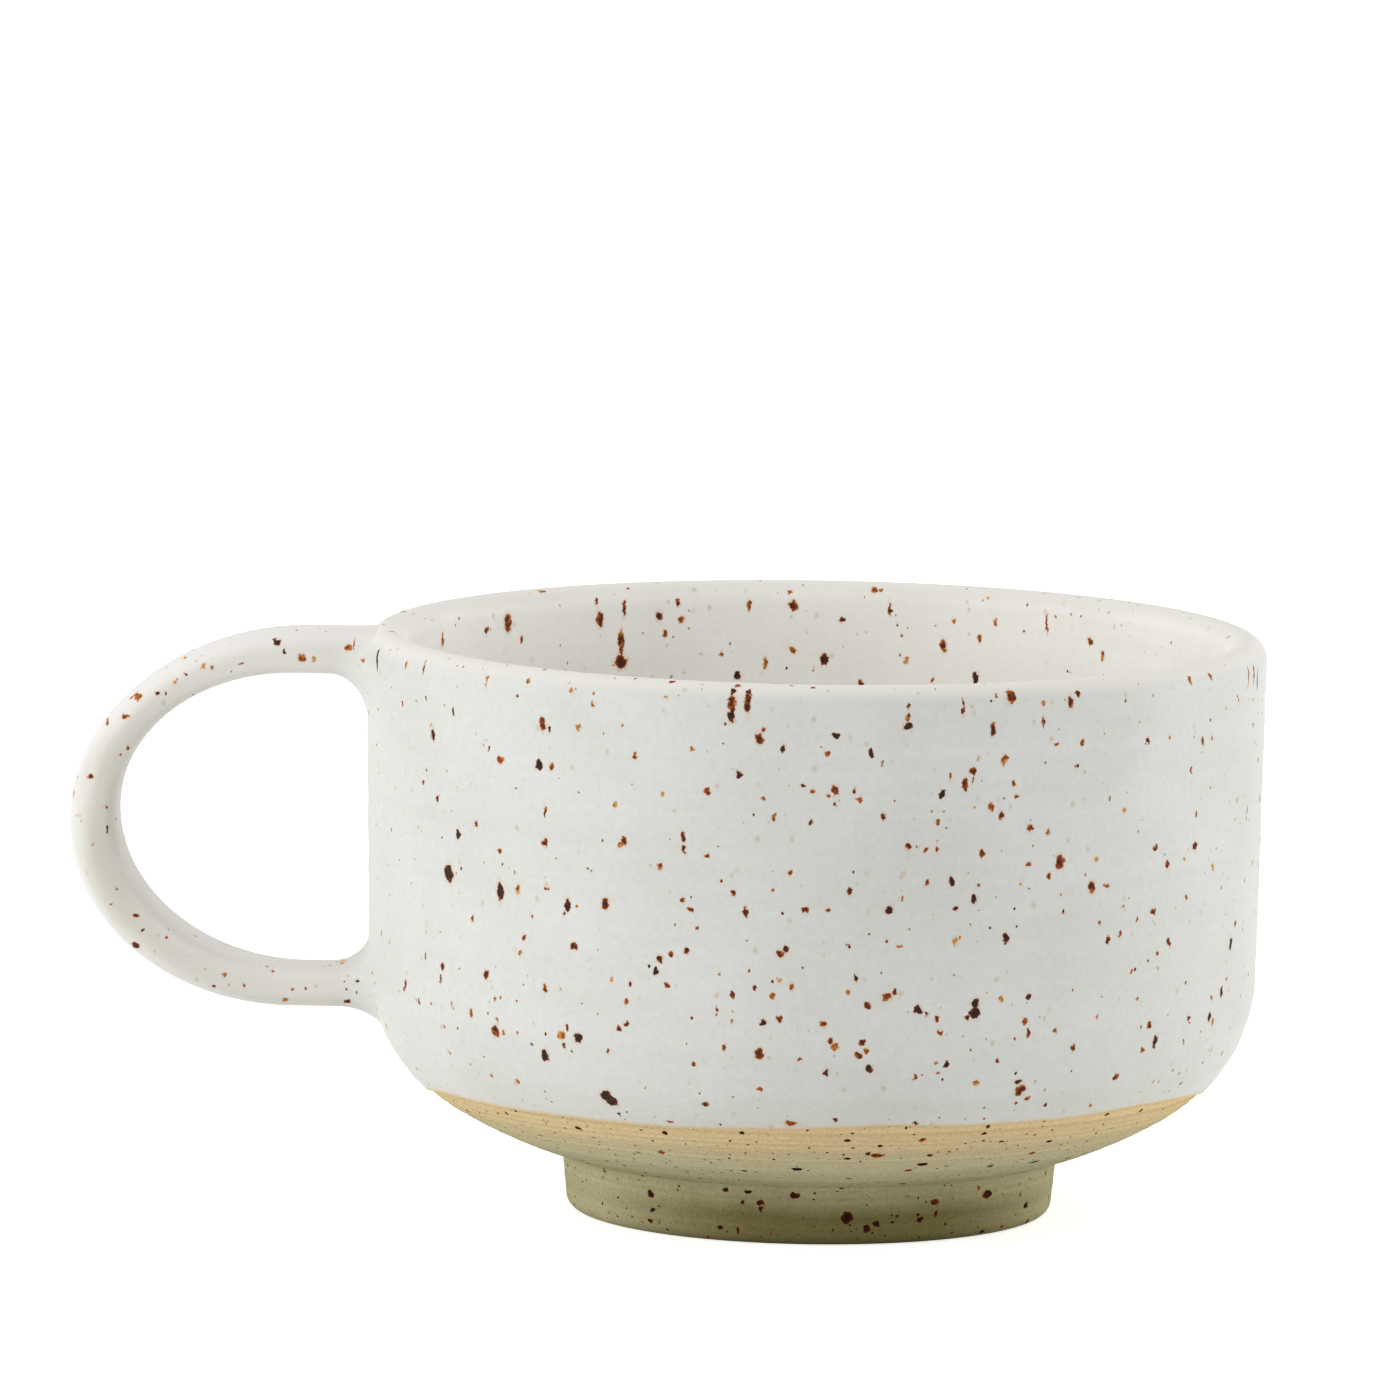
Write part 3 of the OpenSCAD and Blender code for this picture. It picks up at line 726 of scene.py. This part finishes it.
def bare_stoneware(name, colours, groups):
    """Bare fired stoneware, turned on the wheel.

    It gives the eye a dry olive beige that the kiln has flashed tan under the glaze, with fine turning lines,
    sandy grit and dark iron specks.
    """
    material, tree, shader, place = new_material(name)
    axes = add_node(tree, "SeparateXYZ", {0: place})
    across = add_node(tree, "VectorMath", {0: place, 1: (1, 1, 0)}, operation="MULTIPLY")
    out = add_node(tree, "VectorMath", {0: across}, operation="LENGTH")
    clouds = add_node(tree, "TexNoise", {"Vector": place, "Scale": 1 / CLAY_CLOUD, "Detail": 3})
    height = add_node(
        tree, "Math", {0: clouds.outputs[0], 1: 2.4 * MM, 2: axes.outputs["Z"]}, operation="MULTIPLY_ADD")
    flash = add_node(
        tree, "MapRange", {"Value": height, "From Min": 10.5 * MM, "From Max": 16.5 * MM},
        interpolation_type="SMOOTHSTEP")
    low = add_node(tree, "MapRange", {"Value": height, "From Min": 7.8 * MM, "From Max": 11.2 * MM})
    # Painted shade: the foot darkens towards the table
    shade_towards_table = add_node(tree, "MapRange", {"Value": height, "From Min": 8.2 * MM, "From Max": 4.6 * MM})
    # Painted shade: darker still on the front of the foot, where less light falls
    toward_front = add_node(tree, "VectorMath", {0: place, 1: (0.15, -0.99, 0)}, operation="DOT_PRODUCT")
    shade_on_front = add_node(
        tree, "MapRange", {"Value": toward_front, "From Min": 11 * MM, "From Max": 25 * MM, "To Min": 0.15})
    shade_towards_table = add_node(tree, "Math", {0: shade_towards_table, 1: shade_on_front}, operation="MULTIPLY")
    ground = add_node(
        tree, "Mix", {"Factor": shade_towards_table, "A": rgba(colours.foot), "B": rgba(colours.rim_wear_and_foot_shade)}, data_type="RGBA")
    ground = add_node(
        tree, "Mix", {"Factor": low, "A": ground, "B": rgba(colours.clay)}, data_type="RGBA")
    ground = add_node(
        tree, "Mix", {"Factor": flash, "A": ground, "B": rgba(colours.tan)}, data_type="RGBA")
    # Turning lines, and the grit that they drag
    section = add_node(tree, "CombineXYZ", {0: out, 1: axes.outputs["Z"]})
    lines = add_node(
        tree, "TexNoise", {"Vector": section, "Scale": 1 / TURNED_LINE, "Detail": 2}, noise_dimensions="2D")
    grit = add_node(tree, "TexNoise", {"Vector": place, "Scale": 1 / GRIT, "Detail": 2})
    grain = add_node(
        tree, "Math", {0: lines.outputs[0], 1: 0.6, 2: grit.outputs[0]}, operation="MULTIPLY_ADD")
    tint = add_node(
        tree, "MapRange", {"Value": grain, "From Min": 0.5, "From Max": 1.1, "To Min": 0.82, "To Max": 1.14})
    ground = add_node(
        tree, "Mix", {"Factor": 1.0, "A": ground, "B": tint},
        data_type="RGBA", blend_type="MULTIPLY")
    torn = ragged(tree, place, 0.7 * MM, 0.18 * MM)
    found = strewn_specks(tree, None, torn, *GRAINS)
    found = strewn_specks(tree, found, torn, *SPOTS)
    found = placed_specks(tree, found, torn, groups)
    colour, _ = iron(tree, place, found, ground, colours, 0.05)
    bump = add_node(tree, "Bump", {"Height": grain, "Strength": 0.7, "Distance": 0.1 * MM})
    for key, value in (("Base Color", colour), ("Normal", bump)):
        tree.links.new(value, shader.inputs[key])
    shader.inputs["Roughness"].default_value = 0.85
    shader.inputs["Specular IOR Level"].default_value = 0
    return material


def on_wall(specks, radius):
    """Speck places given round the cup, as points on a wall whose radius depends on the height."""
    found = []
    for degrees, height, width, length in specks:
        a, z = math.radians(degrees), height * MM
        r = radius(z)
        half = width / 2 * MM, width / 2 * MM, length / 2 * MM
        found.append((Vector((r * math.sin(a), -r * math.cos(a), z)), half))
    return found


def clay_material(scene):
    """The one bare clay of the cup, made when it is first asked for."""
    made = bpy.data.materials.get("dry_turned_stoneware")
    if made:
        return made
    section = Section(scene.cup_sizes, scene.cup_foot)
    groups = [
        (tone, on_wall(specks, section.outer_radius))
        for tone, specks in ((-0.3, CLAY_BLACK), (0.15, CLAY_BROWN), (0.55, CLAY_RUST))
    ]
    return bare_stoneware("dry_turned_stoneware", scene.cup_colours, groups)


def looked_at(tree):
    """1 where a surface is seen, directly, in a gloss or through glass, and 0 where it only gives light."""
    ray = add_node(tree, "LightPath").outputs
    seen = add_node(
        tree, "Math", {0: ray["Is Camera Ray"], 1: ray["Is Glossy Ray"]}, operation="MAXIMUM")
    return add_node(tree, "Math", {0: seen, 1: ray["Is Transmission Ray"]}, operation="MAXIMUM")


def studio_white():
    """White paper roll: a pale matte floor that goes on into the white behind, with the cup's own shadow."""
    material, tree, shader, _ = new_material("white_paper")
    glow = add_node(tree, "Math", {0: looked_at(tree), 1: PAPER_GLOW}, operation="MULTIPLY")
    tree.links.new(glow, shader.inputs["Emission Strength"])
    shader.inputs["Emission Color"].default_value = (1, 1, 1, 1)
    shader.inputs["Base Color"].default_value = rgba(linear("#ececea"))
    shader.inputs["Roughness"].default_value = 0.9
    return material


class CUP_OT_stage(bpy.types.Operator):
    """Sets the camera, the lamps and a pale floor."""

    bl_idname = "cup.stage"
    bl_label = "Set the Studio"

    def execute(self, context):
        look = context.scene.cup_studio
        scene = context.scene
        scene.view_settings.view_transform = "Standard"
        bpy.ops.object.select_all(action="DESELECT")
        middle = Vector((0, 0, 32 * MM))
        back = Vector((0, -math.cos(look.elevation), math.sin(look.elevation)))
        bpy.ops.object.camera_add(location=middle + back * look.distance)
        camera = context.object
        camera.name = "studio_camera"
        level = math.cos(look.pitch)
        ahead = Vector((math.sin(look.yaw) * level, math.cos(look.yaw) * level, -math.sin(look.pitch)))
        right = ahead.cross(Vector((0, 0, 1))).normalized()
        up = right.cross(ahead)
        right, up = (
            right * math.cos(look.roll) + up * math.sin(look.roll),
            up * math.cos(look.roll) - right * math.sin(look.roll))
        turn = Matrix((right, up, -ahead)).transposed()
        camera.matrix_world = Matrix.Translation(camera.location) @ turn.to_4x4()
        camera.data.sensor_fit = "HORIZONTAL"
        camera.data.sensor_width = 36
        camera.data.lens = look.lens
        camera.data.clip_end = 20
        scene.camera = camera

        for name, place, size, power in (
            ("left_softbox", (-1.0, -0.35, 0.24), (0.9, 0.44), look.left),
            ("right_softbox", (1.0, 0.15, 0.13), (0.9, 0.24), look.right),
            ("front_softbox", (0.1, -0.9, 1.0), (0.8, 0.8), look.front),
            ("top_softbox", (0, 0.3, 1.1), (0.9, 0.9), look.top),
        ):
            bpy.ops.object.light_add(type="AREA", location=place)
            lamp = context.object
            lamp.name = name
            lamp.data.shape = "RECTANGLE"
            lamp.data.energy, lamp.data.size, lamp.data.size_y = power, *size
            lamp.rotation_euler = (middle - Vector(place)).to_track_quat("-Z", "Y").to_euler()

        bpy.ops.mesh.primitive_plane_add(size=8)
        floor = context.object
        floor.name = "studio_floor"
        floor.data.materials.append(studio_white())

        world = bpy.data.worlds.new("studio_air")
        world.use_nodes = True
        scene.world = world
        tree = world.node_tree
        strength = add_node(
            tree, "MapRange", {"Value": looked_at(tree), "To Min": look.fill, "To Max": 1.0})
        tree.links.new(strength, tree.nodes["Background"].inputs["Strength"])
        tree.nodes["Background"].inputs["Color"].default_value = (1, 1, 1, 1)
        return {"FINISHED"}


class CUP_OT_bowl(bpy.types.Operator):
    """Throws the bowl and turns its underside."""

    bl_idname = "cup.bowl"
    bl_label = "Throw the Bowl"

    def execute(self, context):
        scene, cup = context.scene, context.scene.cup_sizes
        s = Section(cup, scene.cup_foot)
        fine, coarse = math.radians(0.4), math.radians(6)
        under = arc(s.base, s.base_r, -math.pi / 2, -s.turn_angle, fine)
        under += arc(s.turn, s.turn_r, -s.turn_angle, s.line_angle + math.radians(8), fine)[1:]
        outside = fingers([Vector((0, s.base.y - s.base_r))] + under, 0.04 * MM, 1.3 * MM)
        outside += arc(s.turn, s.turn_r, s.line_angle + math.radians(12), -s.lean, coarse)
        outside += arc(s.lip, s.lip_r, -s.lean, math.pi - s.lean, coarse)
        inside = arc(s.turn, s.turn_r - s.wall, -s.lean, -s.turn_angle, coarse)
        inside += arc(s.base, s.base_r - s.wall, -s.turn_angle, -math.pi / 2, coarse)[1:]
        inside += [Vector((0, s.base.y - s.base_r + s.wall))]
        piece = throw("thrown_bowl", outside + inside, CLAY_STEPS, False)
        unsettle(piece, cup.wobble)
        hand_over(piece, "bowl", clay_material(scene))
        return {"FINISHED"}


class CUP_OT_foot(bpy.types.Operator):
    """Turns the foot ring, with a soft corner under the bowl."""

    bl_idname = "cup.foot"
    bl_label = "Turn the Foot"

    def execute(self, context):
        scene, cup, foot = context.scene, context.scene.cup_sizes, context.scene.cup_foot
        s = Section(cup, foot)
        fine, sunk = math.radians(5), 0.3 * MM
        inner_r = s.foot_r - foot.width
        outer_edge = Vector((s.foot_r - foot.lean - foot.edge, foot.edge))
        inner_edge = Vector((inner_r + foot.lean + foot.edge, foot.edge))
        corner = self.corner(s, foot, s.foot_r + foot.crease, math.pi)
        inner_corner = self.corner(s, foot, inner_r - foot.crease, 0)[::-1]
        outer_top, inner_top = corner[0].x, inner_corner[-1].x
        side = arc(outer_edge, foot.edge, 0, -math.pi / 2, fine)
        wall = fingers([corner[-1]] + line(corner[-1], side[0], 0.3 * MM) + [side[0]], 0.05 * MM, 1.2 * MM)
        under = arc(inner_edge, foot.edge, -math.pi / 2, -math.pi, fine)
        inner_wall = line(under[-1], inner_corner[0], 0.8 * MM)
        seat = [Vector((inner_top + (outer_top - inner_top) * i / 8, 0)) for i in range(1, 8)]
        for point in seat:
            point.y = s.underside(point.x) + sunk
        base = line(side[-1], under[0], 0.4 * MM)
        points = corner + wall[1:] + side[1:] + base + under + inner_wall + inner_corner + seat
        piece = throw("turned_foot", points, CLAY_STEPS, True)
        unsettle(piece, cup.wobble)
        hand_over(piece, "foot_ring", clay_material(scene))
        return {"FINISHED"}

    def corner(self, s, foot, x, stop):
        """The rounding that runs on from the underside, just inside its skin, into a side of the foot."""
        buried = 0.03 * MM
        reach = s.base_r + foot.crease - buried
        centre = Vector((x, s.base.y - math.sqrt(reach ** 2 - (x - s.base.x) ** 2)))
        up = s.base - centre
        return arc(centre, foot.crease, math.atan2(up.y, up.x), stop, math.radians(8))


def glaze_edge(degrees):
    """How far the dipped edge of the glaze lies above its mean height, in mm, at an angle from the front."""
    a = math.radians(degrees)
    swell = 0.55 * math.sin(a) + 0.12 * math.sin(5 * a + 0.6) + 0.07 * math.sin(11 * a + 2)
    lift = 0.45 * math.exp(-((degrees - 11) / 7) ** 2) + 0.45 * math.exp(-((degrees - 50) / 9) ** 2)
    sag = 1.5 * math.exp(-((abs(degrees) - 84) / 14) ** 2)
    return swell + lift - sag + 0.22


class CUP_OT_outer_coat(bpy.types.Operator):
    """Dips the outside, which ends in a wavering edge above the foot."""

    bl_idname = "cup.outer_coat"
    bl_label = "Glaze the Outside"

    def execute(self, context):
        scene, cup = context.scene, context.scene.cup_sizes
        s = Section(cup, scene.cup_foot)
        fine, coarse = math.radians(1.5), math.radians(7)
        over = s.turn_r + s.coat
        swept = s.line_angle - math.radians(0.4)
        spoke = Vector((math.cos(swept), math.sin(swept)))
        edge = [s.turn + r * spoke for r in (s.turn_r + 0.05 * MM, over - 0.1 * MM)]
        face = arc(s.turn, over, s.line_angle, -s.lean, fine)
        lip = arc(s.lip, s.lip_r + s.coat, -s.lean, math.pi / 2, math.radians(6))
        face = fingers(face + line(face[-1], lip[0], 0.9 * MM) + lip[:2], cup.rings, 4.6 * MM)
        back = arc(s.lip, s.lip_r, math.pi / 2, -s.lean, coarse)
        back += arc(s.turn, s.turn_r, -s.lean, s.line_angle, coarse)
        piece = throw("outer_coat", edge + face + lip[2:] + back, COAT_STEPS, True)
        self.waver(piece, s)
        unsettle(piece, cup.wobble)
        groups = [
            (tone, on_wall(specks, lambda z: s.outer_radius(z, s.coat)))
            for tone, specks in ((0, WALL_BLACK), (0.4, WALL_BROWN), (0.7, WALL_RUST), (0.6, WALL_SMALL))
        ]
        tones = scene.cup_colours.white, scene.cup_colours.shade
        material = glaze("speckled_white_glaze", cup, scene.cup_colours, tones, groups, -1, dipped=True)
        hand_over(piece, "outer_glaze", material)
        return {"FINISHED"}

    def waver(self, piece, s):
        """Slides the lower part of the coat along the turn, most at its edge, and marks how thin it lies."""
        reach = math.radians(24)
        thinned = piece.data.attributes.new(THINNED, "FLOAT", "POINT")
        for vertex in piece.data.vertices:
            x, y, z = vertex.co
            r = math.hypot(x, y)
            spoke = Vector((r - s.turn.x, z - s.turn.y))
            angle = math.atan2(spoke.y, spoke.x)
            weight = 1 - (angle - s.line_angle) / reach
            if weight <= 0 or z > s.turn.y:
                continue
            thinned.data[vertex.index].value = max(0, 1 - (angle - s.line_angle) * spoke.length / THIN_EDGE)
            rise = glaze_edge(math.degrees(math.atan2(x, -y))) * MM
            slide = rise / math.cos(s.line_angle) / spoke.length * min(1, weight) ** 2
            r_new = s.turn.x + spoke.length * math.cos(angle + slide)
            vertex.co = (x * r_new / r, y * r_new / r, s.turn.y + spoke.length * math.sin(angle + slide))


class CUP_OT_liner_coat(bpy.types.Operator):
    """Pours the glaze over the inside, with the rings of the throwing under it."""

    bl_idname = "cup.liner_coat"
    bl_label = "Glaze the Inside"

    def execute(self, context):
        scene, cup = context.scene, context.scene.cup_sizes
        s = Section(cup, scene.cup_foot)
        coarse = math.radians(7)
        lip = arc(s.lip, s.lip_r + s.coat, math.pi / 2, math.pi - s.lean, math.radians(6))
        turn = arc(s.turn, s.turn_r - s.wall - s.coat, -s.lean, -s.turn_angle, math.radians(2.5))
        floor = arc(s.base, s.base_r - s.wall - s.coat, -s.turn_angle, -math.pi / 2, math.radians(0.9))
        bottom = Vector((0, s.base.y - s.base_r + s.wall + s.coat))
        face = lip[-2:] + line(lip[-1], turn[0], 0.9 * MM) + turn + floor[1:] + [bottom]
        face = lip[:-2] + fingers(face, 1.6 * cup.rings, 5.4 * MM)
        back = [Vector((0, s.base.y - s.base_r + s.wall))]
        back += arc(s.base, s.base_r - s.wall, -math.pi / 2, -s.turn_angle, coarse)
        back += arc(s.turn, s.turn_r - s.wall, -s.turn_angle, -s.lean, coarse)[1:]
        back += arc(s.lip, s.lip_r, math.pi - s.lean, math.pi / 2, coarse)
        piece = throw("liner_coat", back + face, COAT_STEPS, False)
        unsettle(piece, cup.wobble)
        groups = [
            (tone, on_wall(specks, s.inner_radius))
            for tone, specks in ((0.1, INSIDE_BLACK), (0.45, INSIDE_BROWN), (0.72, INSIDE_RUST))
        ]
        # Painted light: lighter tones than the outside, for the light that falls inside
        tones = scene.cup_colours.lit_cream, scene.cup_colours.lit_cloud
        material = glaze("liner_white_glaze", cup, scene.cup_colours, tones, groups, 1)
        hand_over(piece, "liner_glaze", material)
        return {"FINISHED"}


def handle_rings(cup, handle, s, coat):
    """Rings of points from the wall under the rim, round the bend, to the belly, at a coat's depth."""
    bend_z = handle.span / 2
    far = handle.thick + handle.thumb + 2 * cup.coat
    centre = Vector((
        -cup.rim / 2 - handle.arm,
        cup.height - cup.coat - handle.drop - handle.thick / 2 - bend_z))
    bend_x = handle.reach + centre.x - far / 2
    angles = [math.tau * i / RING_POINTS for i in range(RING_POINTS)]

    def oval(a, thick, width):
        """A point of the section: rounded on its outside, with firmer corners towards the fingers."""
        power = 0.84 if math.cos(a) > 0 else 0.5
        across, along = math.cos(a), math.sin(a)
        return (
            math.copysign(abs(across) ** power, across) * thick / 2,
            math.copysign(abs(along) ** power, along) * width / 2)

    def joint(side, swing):
        """A ring of a joint: 0 where it leaves the arm, a quarter turn where it meets the wall."""
        inner = handle.upper_reach if side > 0 else handle.lower_reach
        outer = handle.drop if side > 0 else handle.heel
        thick = handle.thick if side > 0 else handle.thick - handle.slack
        flush = coat - 0.04 * MM
        off = handle.joint_length - (handle.joint_length - flush) * math.sin(swing)
        ring = []
        for a in angles:
            reach = outer + (inner - outer) * (1 - math.cos(a)) / 2
            grow = reach - (reach - coat) * math.cos(swing)
            x, y = oval(a, thick + 2 * grow, handle.width + 2 * grow)
            z = centre.y + side * (bend_z + x)
            ring.append(Vector((-math.sqrt(s.outer_radius(z) ** 2 - y * y) - off, y, z)))
        return ring

    def bend(angle):
        """A ring of the bend: a quarter turn at the upper arm, three at the lower."""
        out = Vector((math.cos(angle) / bend_x, math.sin(angle) / bend_z)).normalized()
        spot = centre + Vector((bend_x * math.cos(angle), bend_z * math.sin(angle)))
        thick = handle.thick - handle.swell * math.sin(2 * (angle - math.pi / 2)) + 2 * coat
        thick += handle.thumb * max(0, -math.cos(angle)) ** 4 - handle.slack * max(0, -math.sin(angle)) ** 3
        ring = []
        for a in angles:
            x, y = oval(a, thick, handle.width + 2 * coat)
            ring.append(Vector((spot.x + x * out.x, y, spot.y + x * out.y)))
        return ring

    swings = [math.radians(90 * i / (JOINT_RINGS - 1)) for i in range(JOINT_RINGS)]
    turns = [math.radians(90 + 3 * i) for i in range(61)]
    return (
        [joint(1, swing) for swing in reversed(swings)] + [bend(turn) for turn in turns]
        + [joint(-1, swing) for swing in swings])


def pull(name, rings, capped):
    """Draws a strap of clay or glaze from ring to ring, with its ends closed where it is capped."""
    count = len(rings[0])
    bpy.ops.object.select_all(action="DESELECT")
    bpy.ops.mesh.primitive_circle_add(vertices=count, radius=MM, fill_type="NGON" if capped else "NOTHING")
    piece = bpy.context.object
    piece.name = piece.data.name = name
    bpy.ops.object.mode_set(mode="EDIT")
    bpy.ops.mesh.select_all(action="SELECT")
    for i, ring in enumerate(rings):
        if i:
            bpy.ops.mesh.extrude_region_move()
        drawn = bmesh.from_edit_mesh(piece.data)
        for vertex, point in zip([v for v in drawn.verts if v.select], ring):
            vertex.co = point
        bmesh.update_edit_mesh(piece.data)
    if capped:
        drawn = bmesh.from_edit_mesh(piece.data)
        bmesh.ops.holes_fill(drawn, edges=[e for e in drawn.edges if e.is_boundary], sides=0)
        bmesh.update_edit_mesh(piece.data)
    bpy.ops.mesh.select_all(action="SELECT")
    bpy.ops.mesh.remove_doubles(threshold=0.002 * MM)
    bpy.ops.mesh.normals_make_consistent(inside=False)
    bpy.ops.object.mode_set(mode="OBJECT")
    return piece


class CUP_OT_handle(bpy.types.Operator):
    """Pulls the clay strap of the handle and dries it with its joints."""

    bl_idname = "cup.handle"
    bl_label = "Pull the Handle"

    def execute(self, context):
        scene, cup = context.scene, context.scene.cup_sizes
        rings = handle_rings(cup, scene.cup_handle, Section(cup, scene.cup_foot), 0)
        # The clay of the joints is kept from the solids, so the strap only starts and ends where they do
        inside_joint = JOINT_RINGS - 1
        piece = pull("pulled_handle", rings[inside_joint:-inside_joint], True)
        unsettle(piece, cup.wobble)
        clay = clay_material(scene)
        hand_over(piece, "handle", clay)
        for name in ("upper_handle_joint", "lower_handle_joint"):
            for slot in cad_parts[name].material_slots:
                slot.material = clay
        return {"FINISHED"}


class CUP_OT_handle_coat(bpy.types.Operator):
    """Glazes the handle and its joints as one skin, which sinks under the coat of the wall."""

    bl_idname = "cup.handle_coat"
    bl_label = "Glaze the Handle"

    def execute(self, context):
        scene, cup, handle = context.scene, context.scene.cup_sizes, context.scene.cup_handle
        piece = pull("handle_coat", handle_rings(cup, handle, Section(cup, scene.cup_foot), cup.coat), False)
        bpy.ops.object.modifier_add(type="SOLIDIFY")
        skin = piece.modifiers[-1]
        skin.thickness, skin.offset = cup.coat * 0.8, -1
        bpy.ops.object.modifier_apply(modifier=skin.name)
        unsettle(piece, cup.wobble)
        near, deep = 1 * MM - handle.width / 2, 2.6 * MM
        groups = [
            (tone, [
                (Vector((-x * MM, near, z * MM)), (w / 2 * MM, deep, h / 2 * MM))
                for x, z, w, h in specks])
            for tone, specks in (
                (0.1, HANDLE_BLACK), (0.4, HANDLE_BROWN), (0.7, HANDLE_RUST), (0.95, HANDLE_OCHRE))
        ]
        tones = scene.cup_colours.white, scene.cup_colours.shade
        material = glaze("handle_white_glaze", cup, scene.cup_colours, tones, groups, -1, True)
        hand_over(piece, "handle_glaze", material)
        return {"FINISHED"}


class CUP_PT_panel(bpy.types.Panel):
    """Lists the steps that make the cup."""

    bl_idname = "CUP_PT_panel"
    bl_label = "Cappuccino Cup"
    bl_space_type = "VIEW_3D"
    bl_region_type = "UI"
    bl_category = "Cup"

    def draw(self, context):
        for step in STEPS:
            self.layout.operator(step.bl_idname)
        for name in GROUPS:
            group = getattr(context.scene, name)
            box = self.layout.box()
            for key in group.__annotations__:
                box.prop(group, key)


STEPS = (
    CUP_OT_stage, CUP_OT_bowl, CUP_OT_foot, CUP_OT_outer_coat, CUP_OT_liner_coat, CUP_OT_handle,
    CUP_OT_handle_coat)
GROUPS = {
    "cup_sizes": CupSizes, "cup_foot": FootSizes, "cup_handle": HandleSizes, "cup_colours": CupColours,
    "cup_studio": StudioLook,
}


def register():
    """Registers the classes and hangs their settings on the scene."""
    for kind in (*GROUPS.values(), *STEPS, CUP_PT_panel):
        bpy.utils.register_class(kind)
    for name, kind in GROUPS.items():
        setattr(bpy.types.Scene, name, PointerProperty(type=kind))


def unregister():
    """Takes the settings and the classes away again."""
    for name in GROUPS:
        delattr(bpy.types.Scene, name)
    for kind in reversed((*GROUPS.values(), *STEPS, CUP_PT_panel)):
        bpy.utils.unregister_class(kind)


def main():
    register()
    bpy.ops.cup.stage()
    bpy.ops.cup.bowl()
    bpy.ops.cup.foot()
    bpy.ops.cup.outer_coat()
    bpy.ops.cup.liner_coat()
    bpy.ops.cup.handle()
    bpy.ops.cup.handle_coat()


if __name__ == "__main__":
    main()
